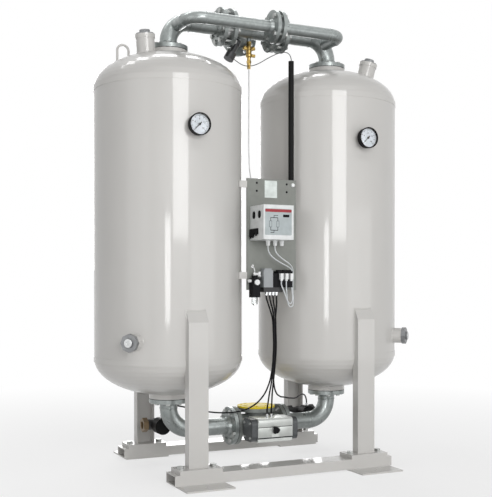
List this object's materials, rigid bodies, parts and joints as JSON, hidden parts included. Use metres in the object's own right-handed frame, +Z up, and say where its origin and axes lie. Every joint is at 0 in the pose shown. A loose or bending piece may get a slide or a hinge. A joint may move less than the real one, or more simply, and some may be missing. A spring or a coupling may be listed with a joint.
{
  "type": "desiccant air dryer",
  "caption": "Twin-tower desiccant air dryer with a rotary changeover valve, pressure gauges and a control panel, on a floor-bolted frame.",
  "frame": {"origin": "centre of the footprint, on the floor", "axes": "+Z up along the vessel axes, +Y toward the back, front is -Y"},
  "size_m": [1.684, 1.126, 2.3903],
  "materials": {
    "paint_grey": "gloss",
    "paint_white": "gloss",
    "panel_grey": "satin",
    "desiccant": "matte",
    "galv_steel": "satin",
    "steel": "satin",
    "cast_dark": "matte",
    "chrome": "polished",
    "yellow_plastic": "satin",
    "cap_dark": "satin",
    "aluminium": "satin",
    "brass": "satin",
    "bronze": "satin",
    "black_plastic": "matte",
    "white_plastic": "gloss",
    "seal_rubber": "matte",
    "bowl_glass": "polished",
    "gauge_glass": "polished",
    "tube_black": "matte",
    "tube_white": "matte",
    "cable_grey": "matte",
    "fitting_metal": "polished"
  },
  "bodies": {
    "needle_left": {"gauge_needle_left": "black_plastic"},
    "needle_right": {"gauge_needle_right": "black_plastic"},
    "check_disc_left": {"check_disc_left": "steel"},
    "check_disc_right": {"check_disc_right": "steel"},
    "valve_rotor": {"valve_ball": "chrome", "actuator_shaft": "steel", "position_indicator": "black_plastic"},
    "piston_left": {"actuator_piston_left": "aluminium"},
    "piston_right": {"actuator_piston_right": "aluminium"},
    "exhaust_plunger_left": {"exhaust_plunger_left": "steel"},
    "exhaust_plunger_right": {"exhaust_plunger_right": "steel"},
    "root": {"vessel_left": "paint_grey", "vessel_right": "paint_grey", "desiccant_beds": "desiccant", "bed_screens": "galv_steel", "nozzle_plugs": "galv_steel", "legs": "paint_grey", "base_beams": "paint_grey", "leg_bolts": "steel", "gauge_cases": "black_plastic", "gauge_dials": "white_plastic", "gauge_glasses": "gauge_glass", "top_spool_left": "galv_steel", "top_spool_right": "galv_steel", "outlet_spool": "galv_steel", "check_valves": "steel", "purge_orifice": "steel", "seals": "seal_rubber", "flange_bolts": "steel", "inlet_spool_left": "galv_steel", "inlet_spool_right": "galv_steel", "changeover_valve": "cast_dark", "inlet_cover": "yellow_plastic", "actuator_body": "aluminium", "actuator_caps": "cap_dark", "exhaust_valves": "bronze", "exhaust_heads": "black_plastic", "control_panel": "panel_grey", "rating_plate": "paint_white", "controller_case": "white_plastic", "controller_lid": "white_plastic", "cable_glands": "white_plastic", "valve_terminal": "panel_grey", "solenoid_valves": "black_plastic", "coil_plugs": "white_plastic", "tube_fittings": "fitting_metal", "filter_regulator": "black_plastic", "regulator_gauge": "white_plastic", "regulator_bowl": "bowl_glass", "pilot_valve": "brass", "dewpoint_sensor": "black_plastic", "sensor_conduit": "black_plastic", "pilot_tube": "tube_white", "sensor_wire": "tube_black", "actuator_tube_left": "tube_black", "actuator_tube_right": "tube_black", "exhaust_tube_left": "tube_black", "exhaust_tube_right": "tube_black", "coil_cable_a": "cable_grey", "coil_cable_b": "cable_grey"}
  },
  "joints": [
    {"name": "needle_left_hinge", "type": "hinge", "parent": "root", "child": "needle_left", "pos_m": [-0.465, -0.4, 1.695], "axis": [0, 1, 0], "range_deg": [0, 270]},
    {"name": "needle_right_hinge", "type": "hinge", "parent": "root", "child": "needle_right", "pos_m": [0.465, -0.4, 1.695], "axis": [0, 1, 0], "range_deg": [0, 270]},
    {"name": "check_disc_left_slide", "type": "slide", "parent": "root", "child": "check_disc_left", "axis": [1, 0, 0], "range_m": [0, 0.01]},
    {"name": "check_disc_right_slide", "type": "slide", "parent": "root", "child": "check_disc_right", "axis": [-1, 0, 0], "range_m": [0, 0.01]},
    {"name": "valve_rotor_hinge", "type": "hinge", "parent": "root", "child": "valve_rotor", "pos_m": [0.032, 0, 0.1997], "axis": [0, 1, 0], "range_deg": [0, 90]},
    {"name": "piston_left_slide", "type": "slide", "parent": "root", "child": "piston_left", "axis": [1, 0, 0], "range_m": [0, 0.0222]},
    {"name": "piston_right_slide", "type": "slide", "parent": "root", "child": "piston_right", "axis": [-1, 0, 0], "range_m": [0, 0.0222]},
    {"name": "exhaust_plunger_left_slide", "type": "slide", "parent": "root", "child": "exhaust_plunger_left", "axis": [0, -1, 0], "range_m": [0, 0.038]},
    {"name": "exhaust_plunger_right_slide", "type": "slide", "parent": "root", "child": "exhaust_plunger_right", "axis": [0, -1, 0], "range_m": [0, 0.038]}
  ],
  "couplings": [
    {"joint": "piston_left_slide", "follows": "valve_rotor_hinge", "m_per_rad": 0.014},
    {"joint": "piston_right_slide", "follows": "valve_rotor_hinge", "m_per_rad": 0.014}
  ]
}
